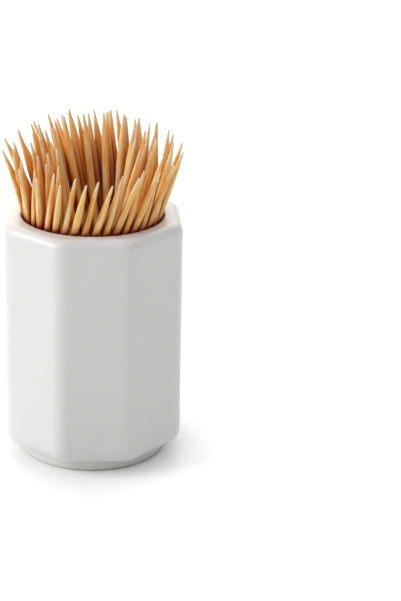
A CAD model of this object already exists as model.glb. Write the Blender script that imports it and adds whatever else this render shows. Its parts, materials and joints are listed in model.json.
"""The octagonal toothpick holder on its CAD frame: glazed cup, wooden toothpicks, floor, light and camera."""

import json
import math
import random

import bpy
import numpy as np
from mathutils import Matrix, Vector


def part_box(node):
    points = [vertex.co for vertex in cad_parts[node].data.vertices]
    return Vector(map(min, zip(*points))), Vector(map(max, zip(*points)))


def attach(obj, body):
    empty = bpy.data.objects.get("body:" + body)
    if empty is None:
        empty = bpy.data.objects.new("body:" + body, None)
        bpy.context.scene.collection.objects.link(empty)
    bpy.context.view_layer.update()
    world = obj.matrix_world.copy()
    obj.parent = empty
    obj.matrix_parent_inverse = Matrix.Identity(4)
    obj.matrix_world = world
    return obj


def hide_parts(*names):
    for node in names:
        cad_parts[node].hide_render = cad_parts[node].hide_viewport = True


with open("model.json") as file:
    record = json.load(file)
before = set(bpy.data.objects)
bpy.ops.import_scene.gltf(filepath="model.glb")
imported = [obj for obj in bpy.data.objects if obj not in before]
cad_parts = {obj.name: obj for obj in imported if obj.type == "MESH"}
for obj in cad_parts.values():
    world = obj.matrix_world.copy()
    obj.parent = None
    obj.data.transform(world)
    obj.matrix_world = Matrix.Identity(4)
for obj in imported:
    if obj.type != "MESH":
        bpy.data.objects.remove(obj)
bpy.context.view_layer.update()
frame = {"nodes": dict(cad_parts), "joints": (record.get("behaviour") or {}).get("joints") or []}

MM = 0.001
MICRONS_IN_METRE = 1e6
UP = Vector((0, 0, 1))

# The cup's sizes, in millimetres. They are the CAD model's, apart from the rim's rounding, which is
# softer here, as thick glaze leaves it.
CUP_FLATS = 8
CUP_WIDTH = 40.0
CUP_HEIGHT = 56.4
EDGE_RADIUS = 5.0
RIM_ROUNDING = 2.3
BASE_ROUNDING = 3.5
WELL_RADIUS = 16.0
WELL_FLOOR = 7.0
LIP_ROUNDING = 0.6
FLOOR_ROUNDING = 1.6
FOOT_RADIUS = 16.75
FOOT_HEIGHT = 2.6
FOOT_RING = 3.0
FOOT_ROUNDING = 0.5
HOLLOW_DEPTH = 3.4

# The toothpick's sizes, in millimetres. Its points are slimmer and longer than the CAD model's.
PICK_RADIUS = 0.9
PICK_LENGTH = 65.0
POINT_LENGTH = 11.5
TIP_RADIUS = 0.21
# 1 is a straight cone, and more is a fuller point
POINT_FULLNESS = 1.9
# The blunt end of a tip, as shares of the tip's radius and millimetres below the end
TIP_CAP = ((0.55, 0.01), (0.9, 0.08))

# How much one toothpick differs from the next. The loss of length at each end, the shift of its tip and
# the shift of its grain are in millimetres, and the others are shares of the sizes above.
END_LOSS = (0.0, 0.35)
TIP_SHIFT = (0.0, 0.14)
GRAIN_SHIFT = (0.0, 90.0)
POINT_LENGTH_SHARE = (1.0, 1.25)
FULLNESS_SHARE = (0.84, 1.0)
TIP_RADIUS_SHARE = (0.85, 1.0)
OVAL_SHARE = (0.975, 1.0)

# Colours, as linear red, green, blue and alpha. A pair is the two ends that a pattern varies between.
WHITE = (1, 1, 1, 1)
GLAZE_COLOURS = ((0.825, 0.825, 0.821, 1), (0.831, 0.831, 0.827, 1))
CLAY_COLOUR = (0.74, 0.71, 0.65, 1)
WOOD_COLOURS = ((1.0, 0.75, 0.38, 1), (1.0, 0.62, 0.16, 1))
WOOD_TIP_COLOUR = (1.0, 0.93, 0.78, 1)
FLOOR_COLOURS = ((0.895, 0.895, 0.895, 1), (0.905, 0.905, 0.905, 1))
# Roughness at the two ends of a pattern
GLAZE_ROUGHNESS = (0.36, 0.39)
CLAY_ROUGHNESS = (0.75, 0.95)
WOOD_ROUGHNESS = (0.36, 0.6)
# The values that nearly all of a noise pattern lies between
NOISE_SPAN = (0.3, 0.7)

# Colours laid over the clay and the wood, one after the other: the pattern, the values of it at which
# the colour starts and at which it is strongest, how strong it gets, and the colour
CLAY_LAYERS = (
    ("stain", 0.35, 0.7, 1.0, (0.60, 0.56, 0.50, 1)),
    ("grain", 0.55, 0.75, 0.4, (0.45, 0.41, 0.36, 1)),
)
WOOD_LAYERS = (
    ("bands", 0.44, 0.66, 0.7, (0.98, 0.50, 0.11, 1)),
    ("fibres", 0.54, 0.64, 0.8, (0.64, 0.25, 0.03, 1)),
    ("fibres", 0.46, 0.36, 0.6, (1.0, 0.88, 0.62, 1)),
    ("patches", 0.50, 0.64, 0.5, (1.0, 0.88, 0.58, 1)),
)
# The wood's grain along a toothpick, as a share of the grain across it
GRAIN_STRETCH = 0.045
# The points grow pale between these distances from the toothpick's middle, in millimetres, by this share
PALE_FROM = 28.5
PALE_TO = 32.6
PALE_SHARE = 0.65
# How the wood darkens and warms where toothpicks crowd: the reach in millimetres, the openness at
# which a shade starts and at which it is full, and the shade
GAP_SHADES = (
    (6.0, 0.94, 0.36, (1.0, 0.68, 0.20, 1)),
    (3.0, 0.88, 0.24, (0.40, 0.06, 0.01, 1)),
    (1.0, 0.98, 0.50, (0.48, 0.14, 0.03, 1)),
)

# The room's light on the object, and how far the floor is lifted towards white
WORLD_LEVEL = 0.28
FLOOR_LIFT = 0.42
# How the lift fades beside the cup: the reach in millimetres, the openness at which it is least and at
# which it is full, and the least share
FLOOR_FADES = (
    (2.4, 0.40, 0.90, 0.0),
    (20.0, 0.5, 1.0, 0.40),
)
# How far the floor reaches from the middle, and how far it lies below the foot, in millimetres
FLOOR_REACH = 4000.0
FLOOR_DROP = 0.02

# Each wide lamp's name, azimuth and elevation in degrees, strength, and angle in degrees
LIGHTS = (
    ("left", 85, 27, 1.60, 36),
    ("above", 20, 68, 0.38, 60),
    ("behind", 180, 45, 1.15, 60),
    ("right_back", 215, 45, 0.35, 60),
)

# The photograph's view, in pixels, millimetres and degrees. The target is a point on the cup's axis,
# and its pixel is counted from the picture's left and top.
PHOTO_WIDTH = 401
PHOTO_HEIGHT = 601
TARGET_PIXEL = (92.87, 328.7)
TARGET_HEIGHT = 28.2
FOCAL_PIXELS = 2006.5
CAMERA_DISTANCE = 463.5
CAMERA_TURN = -1.7
CAMERA_TILT = 21.98
SENSOR_WIDTH = 36.0


# Materials


class Nodes:
    """The node tree of a material or a world, with short calls for adding and joining nodes."""

    def __init__(self, owner, output):
        owner.use_nodes = True
        self.tree = owner.node_tree
        self.tree.nodes.clear()
        self.output = self.add(output)

    def add(self, kind, **settings):
        node = self.tree.nodes.new(kind)
        for name, value in settings.items():
            setattr(node, name, value)
        return node

    def join(self, source, target):
        self.tree.links.new(source, target)

    def put(self, socket, value):
        """A socket takes a number, a colour or another node's output."""
        if isinstance(value, bpy.types.NodeSocket):
            self.join(value, socket)
        else:
            socket.default_value = value

    def object_point(self):
        return self.add("ShaderNodeTexCoord").outputs["Object"]

    def attribute(self, name, output="Fac"):
        return self.add("ShaderNodeAttribute", attribute_name=name).outputs[output]

    def math(self, operation, a, b=0.0, c=0.0):
        node = self.add("ShaderNodeMath", operation=operation)
        for socket, value in zip(node.inputs, (a, b, c)):
            self.put(socket, value)
        return node.outputs[0]

    def parts(self, vector):
        node = self.add("ShaderNodeSeparateXYZ")
        self.join(vector, node.inputs[0])
        return node.outputs

    def vector(self, x, y, z):
        node = self.add("ShaderNodeCombineXYZ")
        for socket, value in zip(node.inputs, (x, y, z)):
            self.put(socket, value)
        return node.outputs[0]

    def noise(self, vector, scale, detail=2.0, roughness=0.5):
        """A grain with so many waves in a metre."""
        node = self.add("ShaderNodeTexNoise")
        self.join(vector, node.inputs["Vector"])
        node.inputs["Scale"].default_value = scale
        node.inputs["Detail"].default_value = detail
        node.inputs["Roughness"].default_value = roughness
        return node.outputs["Fac"]

    def openness(self, reach, samples):
        """1 where nothing stands within the reach, in millimetres, and less where something does."""
        node = self.add("ShaderNodeAmbientOcclusion", samples=samples)
        node.inputs["Distance"].default_value = reach * MM
        return node.outputs["AO"]

    def remap(self, value, low, high, to_low=0.0, to_high=1.0):
        node = self.add("ShaderNodeMapRange")
        for socket, v in zip(node.inputs, (value, low, high, to_low, to_high)):
            self.put(socket, v)
        return node.outputs[0]

    def blend(self, factor, a, b, **settings):
        node = self.add("ShaderNodeMix", data_type="RGBA", **settings)
        self.put(node.inputs["Factor"], factor)
        self.put(node.inputs["A"], a)
        self.put(node.inputs["B"], b)
        return node.outputs["Result"]

    def tint(self, factor, colour, shade):
        """The colour multiplied by a shade, as far as the factor says."""
        return self.blend(factor, colour, shade, blend_type="MULTIPLY")

    def layers(self, colour, patterns, layers):
        """Colours laid one over the other, each as strong as its pattern says."""
        for name, starts, strongest, strength, shade in layers:
            factor = self.remap(patterns[name], starts, strongest, 0.0, strength)
            colour = self.blend(factor, colour, shade)
        return colour

    def bump(self, height, distance, strength):
        """Small relief. The distance is in millimetres."""
        node = self.add("ShaderNodeBump")
        self.join(height, node.inputs["Height"])
        node.inputs["Distance"].default_value = distance * MM
        node.inputs["Strength"].default_value = strength
        return node.outputs[0]

    def principled(self, **sockets):
        """A principled shader at the surface. A blank in a socket's name is written as an underscore."""
        node = self.add("ShaderNodeBsdfPrincipled")
        for name, value in sockets.items():
            self.put(node.inputs[name.replace("_", " ")], value)
        self.join(node.outputs[0], self.output.inputs["Surface"])


def new_material(name):
    material = bpy.data.materials.new(name)
    return material, Nodes(material, "ShaderNodeOutputMaterial")


def glaze_material():
    """Plain white glaze with a faint orange-peel surface."""
    material, n = new_material("cup_glaze")
    point = n.object_point()
    cloud = n.noise(point, scale=45.0, detail=3.0)
    peel = n.noise(point, scale=420.0)
    n.principled(
        Base_Color=n.blend(n.remap(cloud, *NOISE_SPAN), *GLAZE_COLOURS),
        Roughness=n.remap(peel, *NOISE_SPAN, *GLAZE_ROUGHNESS),
        Normal=n.bump(peel, distance=0.004, strength=0.3),
        IOR=1.5,
        Coat_Weight=0.3,
        Coat_Roughness=0.28,
    )
    return material


def bisque_material():
    """The bare clay of the ring that stands on the table."""
    material, n = new_material("bare_clay")
    point = n.object_point()
    grain = n.noise(point, scale=2600.0, detail=4.0, roughness=0.7)
    stain = n.noise(point, scale=160.0)
    n.principled(
        Base_Color=n.layers(CLAY_COLOUR, {"stain": stain, "grain": grain}, CLAY_LAYERS),
        Roughness=n.remap(grain, *NOISE_SPAN, *CLAY_ROUGHNESS),
        Normal=n.bump(grain, distance=0.08, strength=0.6),
    )
    return material


def wood_material():
    """Pale close-grained wood, with fibres that run along each toothpick's own length."""
    material, n = new_material("toothpick_wood")
    x, y, z = n.parts(n.attribute("pick_point", "Vector"))
    shift, tone = n.attribute("pick_shift"), n.attribute("pick_tone")
    stretched = n.vector(x, y, n.math("MULTIPLY_ADD", z, GRAIN_STRETCH, shift))
    fibres = n.noise(stretched, scale=2300.0, detail=4.0, roughness=0.65)
    bands = n.noise(stretched, scale=900.0)
    patches = n.noise(n.vector(x, y, n.math("ADD", z, shift)), scale=110.0, detail=3.0)
    patterns = {"fibres": fibres, "bands": bands, "patches": patches}
    colour = n.layers(n.blend(tone, *WOOD_COLOURS), patterns, WOOD_LAYERS)
    tip = n.remap(n.math("ABSOLUTE", z), PALE_FROM * MM, PALE_TO * MM)
    colour = n.blend(n.math("MULTIPLY", tip, PALE_SHARE), colour, WOOD_TIP_COLOUR)
    for reach, starts, full, shade in GAP_SHADES:
        colour = n.tint(n.remap(n.openness(reach, samples=8), starts, full), colour, shade)
    n.principled(
        Base_Color=colour,
        Roughness=n.remap(fibres, *NOISE_SPAN, *WOOD_ROUGHNESS),
        Normal=n.bump(fibres, distance=0.06, strength=0.5),
    )
    return material


def floor_material():
    """A plain white floor, lifted to white where the camera or a reflection sees it, with its shadow kept."""
    material, n = new_material("floor_paper")
    tone = n.noise(n.object_point(), scale=900.0)
    paper = n.add("ShaderNodeBsdfDiffuse")
    n.join(n.blend(n.remap(tone, *NOISE_SPAN), *FLOOR_COLOURS), paper.inputs["Color"])
    path = n.add("ShaderNodeLightPath").outputs
    reflected = n.math("MAXIMUM", path["Is Glossy Ray"], path["Is Transmission Ray"])
    seen = n.math("MAXIMUM", path["Is Camera Ray"], reflected)
    lift = n.math("MULTIPLY", seen, FLOOR_LIFT)
    for reach, lowest, full, least in FLOOR_FADES:
        lift = n.math("MULTIPLY", lift, n.remap(n.openness(reach, samples=16), lowest, full, least, 1.0))
    glow = n.add("ShaderNodeEmission")
    n.join(lift, glow.inputs["Strength"])
    both = n.add("ShaderNodeAddShader")
    n.join(paper.outputs[0], both.inputs[0])
    n.join(glow.outputs[0], both.inputs[1])
    n.join(both.outputs[0], n.output.inputs["Surface"])
    return material


# The cup


def mesh_object(name, points, faces, materials, face_materials=None):
    """A smooth object at the origin. The last argument says which material each face has."""
    mesh = bpy.data.meshes.new(name)
    mesh.from_pydata([tuple(p) for p in points], [], faces)
    for material in materials:
        mesh.materials.append(material)
    if face_materials is not None:
        mesh.polygons.foreach_set("material_index", face_materials)
    mesh.polygons.foreach_set("use_smooth", [True] * len(mesh.polygons))
    mesh.update()
    made = bpy.data.objects.new(name, mesh)
    bpy.context.scene.collection.objects.link(made)
    return made


def arc(centre, radius, start, end, steps=6):
    """Points of a rounded corner as (distance, height), by angles in degrees."""
    angles = [math.radians(start + (end - start) * k / steps) for k in range(steps + 1)]
    return [(centre[0] + radius * math.cos(a), centre[1] + radius * math.sin(a)) for a in angles]


# How many pieces each corner and each flat of the octagon is divided into, and the body's height
CORNER_STEPS = 10
FLAT_STEPS = 12
SIDE_STEPS = 24
# Where further rings of points stand, in millimetres: on the hollow's ceiling and the well's floor by
# radius, on the foot's side by height and flare, and in the well by depth below its lip
CEILING_RADII = (0.4, 4, 8)
FLOOR_RADII = (10, 5, 0.4)
FOOT_SIDE = ((1.0, 0), (1.6, 0), (2.1, 0), (2.35, 0), (2.5, 0.01), (2.58, 0.04))
WELL_DEPTHS = (2, 6, 12, 20, 30, 40)
# Where rings stand on the rim's flat, as shares of the way from its outer edge to its lip
RIM_SHARES = (0.2, 0.5, 0.8)
# Rings of the foot's outer rounding that the glaze reaches down over
GLAZED_FOOT_RINGS = 3


def octagon_ring(inset, height):
    """The rounded octagon at a distance inside the cup's flats."""
    step = 360 / CUP_FLATS
    corner = (CUP_WIDTH / 2 - EDGE_RADIUS) / math.cos(math.pi / CUP_FLATS)
    radius = EDGE_RADIUS - inset
    corners = []
    for k in range(CUP_FLATS):
        middle = math.radians(step * (k + 0.5))
        centre = Vector((corner * math.cos(middle), corner * math.sin(middle)))
        angles = [middle + math.radians(step * (j / CORNER_STEPS - 0.5)) for j in range(CORNER_STEPS + 1)]
        corners.append([centre + radius * Vector((math.cos(a), math.sin(a))) for a in angles])
    ring = []
    for k, points in enumerate(corners):
        a, b = points[-1], corners[(k + 1) % CUP_FLATS][0]
        ring += points
        ring += [a.lerp(b, j / FLAT_STEPS) for j in range(1, FLAT_STEPS)]
    return [Vector((p.x, p.y, height)) for p in ring]


def round_ring(radius, height):
    """A circle whose points stand at the same azimuths as those of the octagon."""
    return [Vector((p.x, p.y, 0)).normalized() * radius + UP * height for p in octagon_ring(0, 0)]


def round_rings(profile):
    return [round_ring(radius, height) for radius, height in profile]


def octagon_rings(profile):
    return [octagon_ring(inset, height) for inset, height in profile]


def blend_ring(outer, inner, share, height):
    return [a.lerp(b, share).xy.to_3d() + UP * height for a, b in zip(outer, inner)]


def foot_rings():
    """The foot from the middle of its hollow to the body, and which of its rings bare clay lies between."""
    hollow_r = FOOT_RADIUS - FOOT_RING
    rings = round_rings((r, HOLLOW_DEPTH) for r in CEILING_RADII)
    centre = (hollow_r - FLOOR_ROUNDING, HOLLOW_DEPTH - FLOOR_ROUNDING)
    rings += round_rings(arc(centre, FLOOR_ROUNDING, 90, 0))
    bare_from = len(rings)
    rings += round_rings(arc((hollow_r + FOOT_ROUNDING, FOOT_ROUNDING), FOOT_ROUNDING, 180, 270, steps=5))
    rings += round_rings(arc((FOOT_RADIUS - FOOT_ROUNDING, FOOT_ROUNDING), FOOT_ROUNDING, -90, 0))
    bare_to = len(rings) - GLAZED_FOOT_RINGS
    rings += round_rings((FOOT_RADIUS + flare, z) for z, flare in FOOT_SIDE)
    return rings, bare_from, bare_to


def body_rings():
    """The body from the foot to the flat of its rim."""
    side_low, side_high = FOOT_HEIGHT + BASE_ROUNDING, CUP_HEIGHT - RIM_ROUNDING
    rings = octagon_rings(arc((BASE_ROUNDING, side_low), BASE_ROUNDING, 265, 180, steps=14))
    heights = [side_low + (side_high - side_low) * k / SIDE_STEPS for k in range(1, SIDE_STEPS)]
    rings += octagon_rings((0, z) for z in heights)
    rings += octagon_rings(arc((RIM_ROUNDING, side_high), RIM_ROUNDING, 180, 90, steps=10))
    return rings


def well_rings():
    """The rim's flat, its lip, and the well down to the middle of its floor."""
    lip_r = WELL_RADIUS + LIP_ROUNDING
    rim, lip = octagon_ring(RIM_ROUNDING, CUP_HEIGHT), round_ring(lip_r, CUP_HEIGHT)
    rings = [blend_ring(rim, lip, share, CUP_HEIGHT) for share in RIM_SHARES]
    rings += round_rings(arc((lip_r, CUP_HEIGHT - LIP_ROUNDING), LIP_ROUNDING, 90, 180))
    rings += round_rings((WELL_RADIUS, CUP_HEIGHT - LIP_ROUNDING - depth) for depth in WELL_DEPTHS)
    centre = (WELL_RADIUS - FLOOR_ROUNDING, WELL_FLOOR + FLOOR_ROUNDING)
    rings += round_rings(arc(centre, FLOOR_ROUNDING, 0, -90))
    rings += round_rings((r, WELL_FLOOR) for r in FLOOR_RADII)
    return rings


def make_cup():
    rings, bare_from, bare_to = foot_rings()
    rings += body_rings() + well_rings()
    count = len(rings[0])
    points = [p * MM for ring in rings for p in ring]
    faces, kinds = [], []
    for i in range(len(rings) - 1):
        low, high = i * count, (i + 1) * count
        for j in range(count):
            k = (j + 1) % count
            faces.append((low + j, high + j, high + k, low + k))
            kinds.append(1 if bare_from <= i < bare_to else 0)
    # One small face closes the middle of the hollow, and one the middle of the well
    faces.append(tuple(range(count)))
    faces.append(tuple(reversed(range((len(rings) - 1) * count, len(rings) * count))))
    kinds += [0, 0]
    cup = mesh_object("glazed_cup", points, faces, [glaze_material(), bisque_material()], kinds)
    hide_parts("cup")
    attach(cup, "cup")


# The toothpicks

PICK_SIDES = 20
# Where a point's rings stand, as shares of its length from the tip
POINT_STEPS = (0.01, 0.04, 0.1, 0.18, 0.28, 0.4, 0.54, 0.7, 0.86, 1.0)
# Where the shank's rings stand, in millimetres from the middle
SHANK_STEPS = (-15, -7, 0, 7, 15)
FIRST_INNER_SEED = 200


def point_rows(chance, sign):
    """One pointed end as rows of (radius, height, shift aside), from the tip inwards."""
    reach = PICK_LENGTH / 2 - chance.uniform(*END_LOSS)
    length = POINT_LENGTH * chance.uniform(*POINT_LENGTH_SHARE)
    fullness = POINT_FULLNESS * chance.uniform(*FULLNESS_SHARE)
    tip = TIP_RADIUS * chance.uniform(*TIP_RADIUS_SHARE)
    aside = chance.uniform(0, 2 * math.pi)
    off = Vector((math.cos(aside), math.sin(aside), 0)) * chance.uniform(*TIP_SHIFT)
    rings = [(tip * share, reach - drop, 0) for share, drop in TIP_CAP]
    cap = TIP_CAP[-1][1]
    for s in POINT_STEPS:
        r = tip + (PICK_RADIUS - tip) * (1 - (1 - s) ** fullness)
        rings.append((r, reach - cap - (length - cap) * s, s))
    return [(r, sign * z, off * (1 - s) ** 2) for r, z, s in rings]


def make_pick(name, centre, axis, seed, wood):
    """One toothpick on its own line, with small differences in its points, tone and grain."""
    chance = random.Random(seed)
    low_end, high_end = point_rows(chance, -1), point_rows(chance, 1)
    rows = low_end + [(PICK_RADIUS, z, Vector()) for z in SHANK_STEPS] + high_end[::-1]
    oval = chance.uniform(*OVAL_SHARE)
    points, faces = [], []
    for r, z, off in rows:
        for j in range(PICK_SIDES):
            a = 2 * math.pi * j / PICK_SIDES
            points.append((Vector((r * math.cos(a), r * oval * math.sin(a), z)) + off) * MM)
    for i in range(len(rows) - 1):
        low, high = i * PICK_SIDES, (i + 1) * PICK_SIDES
        for j in range(PICK_SIDES):
            k = (j + 1) % PICK_SIDES
            faces.append((low + j, low + k, high + k, high + j))
    # One small face closes each tip
    faces.append(tuple(reversed(range(PICK_SIDES))))
    faces.append(tuple(range((len(rows) - 1) * PICK_SIDES, len(rows) * PICK_SIDES)))
    spin = Matrix.Rotation(chance.uniform(0, 2 * math.pi), 4, "Z")
    place = Matrix.Translation(centre) @ axis.to_track_quat("Z", "Y").to_matrix().to_4x4() @ spin
    pick = mesh_object(name, [place @ p for p in points], faces, [wood])
    for label, value in (("pick_tone", chance.random()), ("pick_shift", chance.uniform(*GRAIN_SHIFT) * MM)):
        layer = pick.data.attributes.new(label, "FLOAT", "POINT")
        layer.data.foreach_set("value", [value] * len(points))
    layer = pick.data.attributes.new("pick_point", "FLOAT_VECTOR", "POINT")
    layer.data.foreach_set("vector", [c for p in points for c in p])
    return pick


def loose_lines(node):
    """Middle and direction of each separate solid in a node, from its mesh."""
    mesh = frame["nodes"][node].data
    places = np.array([v.co for v in mesh.vertices])
    cells = [tuple(np.round(p * MICRONS_IN_METRE).astype(int)) for p in places]
    first_in_cell = {}
    same = [first_in_cell.setdefault(cell, i) for i, cell in enumerate(cells)]
    group = list(range(len(places)))

    def root(i):
        while group[i] != i:
            group[i] = group[group[i]]
            i = group[i]
        return i

    for polygon in mesh.polygons:
        first = root(same[polygon.vertices[0]])
        for v in polygon.vertices:
            group[root(same[v])] = first
    solids = {}
    for i in set(same):
        solids.setdefault(root(i), []).append(places[i])
    lines = []
    for solid in solids.values():
        solid = np.array(solid)
        middle = (solid.max(0) + solid.min(0)) / 2
        direction = np.linalg.svd(solid - solid.mean(0), full_matrices=False)[2][0]
        direction *= np.sign(direction[2])
        lines.append((Vector(middle), Vector(direction)))
    return sorted(lines, key=lambda line: math.atan2(line[0].y, line[0].x))


def make_picks():
    wood = wood_material()
    axes = {joint["child"]: Vector(joint["axis"]) for joint in frame["joints"]}
    singles = [node for node in sorted(frame["nodes"]) if node not in ("cup", "inner_picks")]
    for seed, node in enumerate(singles, 1):
        low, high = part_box(node)
        pick = make_pick(node + "_wood", (low + high) / 2, axes[node], seed, wood)
        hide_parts(node)
        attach(pick, node)
    for i, (middle, direction) in enumerate(loose_lines("inner_picks")):
        name = "inner_pick_%02d_wood" % (i + 1)
        pick = make_pick(name, middle, direction, FIRST_INNER_SEED + i, wood)
        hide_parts("inner_picks")
        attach(pick, "bunch")


# The floor, the light and the camera


def make_floor():
    reach = FLOOR_REACH * MM
    corners = [(-reach, -reach, 0), (reach, -reach, 0), (reach, reach, 0), (-reach, reach, 0)]
    floor = mesh_object("floor", corners, [(0, 1, 2, 3)], [floor_material()])
    floor.location.z = -FLOOR_DROP * MM


def make_world():
    """Even light on the object, and plain white where the camera or a reflection sees the room."""
    world = bpy.data.worlds.new("white_room")
    n = Nodes(world, "ShaderNodeOutputWorld")
    path = n.add("ShaderNodeLightPath").outputs
    mix = n.add("ShaderNodeMixShader")
    n.join(n.math("MAXIMUM", path["Is Camera Ray"], path["Is Glossy Ray"]), mix.inputs[0])
    for socket, level in ((mix.inputs[1], WORLD_LEVEL), (mix.inputs[2], 1.0)):
        room = n.add("ShaderNodeBackground")
        room.inputs["Color"].default_value = WHITE
        room.inputs["Strength"].default_value = level
        n.join(room.outputs[0], socket)
    n.join(mix.outputs[0], n.output.inputs["Surface"])
    bpy.context.scene.world = world


def make_sun(name, azimuth, elevation, strength, angle):
    """A wide soft sun. Azimuth 0 shines from the front, and 90 from the viewer's left."""
    lamp = bpy.data.lights.new(name, "SUN")
    lamp.energy = strength
    lamp.angle = math.radians(angle)
    made = bpy.data.objects.new(name, lamp)
    bpy.context.scene.collection.objects.link(made)
    a, e = math.radians(azimuth), math.radians(elevation)
    source = Vector((-math.sin(a) * math.cos(e), -math.cos(a) * math.cos(e), math.sin(e)))
    made.location = source
    made.rotation_euler = source.to_track_quat("Z", "Y").to_euler()


def make_camera():
    """The photograph's view: the camera looks past the holder, which stands left of the middle."""
    turn, tilt = math.radians(CAMERA_TURN), math.radians(CAMERA_TILT)
    aside = TARGET_PIXEL[0] - PHOTO_WIDTH / 2
    up = PHOTO_HEIGHT / 2 - TARGET_PIXEL[1]
    back = Vector((math.sin(turn) * math.cos(tilt), -math.cos(turn) * math.cos(tilt), math.sin(tilt)))
    right = Vector((math.cos(turn), math.sin(turn), 0))
    above = right.cross(-back)
    ahead = (-back * FOCAL_PIXELS - right * aside - above * up).normalized()
    facing = Matrix((right, above, back)).transposed().to_quaternion()
    data = bpy.data.cameras.new("camera")
    data.sensor_width = SENSOR_WIDTH
    data.lens = FOCAL_PIXELS / PHOTO_HEIGHT * SENSOR_WIDTH
    data.clip_start = 0.01
    data.clip_end = 20.0
    camera = bpy.data.objects.new("camera", data)
    bpy.context.scene.collection.objects.link(camera)
    camera.location = Vector((0, 0, TARGET_HEIGHT * MM)) + back * (CAMERA_DISTANCE * MM)
    camera.rotation_mode = "QUATERNION"
    camera.rotation_quaternion = (-back).rotation_difference(ahead) @ facing
    bpy.context.scene.camera = camera


make_camera()
make_cup()
make_picks()
make_floor()
make_world()
for light in LIGHTS:
    make_sun(*light)
bpy.context.scene.view_settings.view_transform = "Standard"
